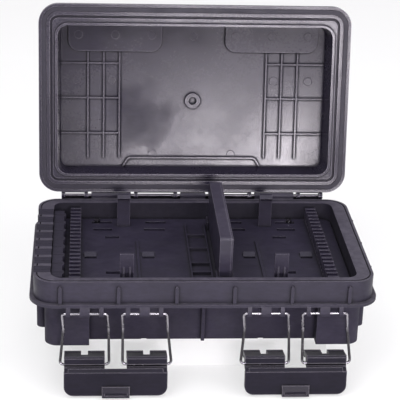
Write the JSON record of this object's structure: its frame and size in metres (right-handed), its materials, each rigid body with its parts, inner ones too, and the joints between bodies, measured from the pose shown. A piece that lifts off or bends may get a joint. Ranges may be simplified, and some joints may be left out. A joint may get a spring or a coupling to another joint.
{
  "type": "fibre splitter box",
  "caption": "Charcoal plastic fibre splitter box, lid open: cable combs and snap posts on a tray, an upright splitter cassette, rubber cable grommets and wire-bail lever latches.",
  "frame": {"origin": "centre of the base's flat underside, at the middle of the bracket screw holes", "axes": "X along the hinge, Y from the latches to the hinge, Z out of the underside through the open top"},
  "size_m": [0.328, 0.2813, 0.3122],
  "materials": {
    "charcoal_plastic": "fine spark-eroded moulding texture",
    "lid_plastic": "satin inside with flow marks",
    "latch_plastic": "fine moulding texture",
    "cassette_plastic": "smooth satin",
    "black_rubber": "dull",
    "steel_wire": "bright drawn wire"
  },
  "bodies": {
    "base": {"base_shell": "charcoal_plastic", "cable_grommets": "black_rubber", "seal_strip": "black_rubber", "tray": "charcoal_plastic", "tray_screws": "steel_wire", "left_comb": "charcoal_plastic", "right_comb": "charcoal_plastic", "front_clips": "charcoal_plastic", "rear_clips": "charcoal_plastic", "cassette_body": "cassette_plastic", "cassette_cover": "cassette_plastic", "splitter_chip": "steel_wire", "cassette_sockets": "charcoal_plastic", "hinge_rod": "steel_wire"},
    "lid": {"lid_shell": "lid_plastic", "lid_gasket": "black_rubber"},
    "left_bail": {"left_bails": "steel_wire"},
    "left_latch": {"left_lever": "latch_plastic"},
    "right_bail": {"right_bails": "steel_wire"},
    "right_latch": {"right_lever": "latch_plastic"}
  },
  "joints": [
    {"name": "lid_hinge", "type": "hinge", "parent": "base", "child": "lid", "pos_m": [0, 0.1015, 0.074], "axis": [1, 0, 0], "range_deg": [0, 99.7]},
    {"name": "left_bail_swing", "type": "hinge", "parent": "base", "child": "left_bail", "pos_m": [-0.0845, -0.101, 0.0405], "axis": [1, 0, 0], "range_deg": [-178, 3]},
    {"name": "left_lever_turn", "type": "hinge", "parent": "left_bail", "child": "left_latch", "pos_m": [-0.0845, -0.101, -0.0127], "axis": [1, 0, 0], "range_deg": [-3, 178]},
    {"name": "right_bail_swing", "type": "hinge", "parent": "base", "child": "right_bail", "pos_m": [0.0845, -0.101, 0.0405], "axis": [1, 0, 0], "range_deg": [-178, 3]},
    {"name": "right_lever_turn", "type": "hinge", "parent": "right_bail", "child": "right_latch", "pos_m": [0.0845, -0.101, -0.0127], "axis": [1, 0, 0], "range_deg": [-3, 178]}
  ],
  "couplings": [
    {"joint": "left_lever_turn", "follows": "left_bail_swing", "ratio": -1},
    {"joint": "right_lever_turn", "follows": "right_bail_swing", "ratio": -1}
  ]
}
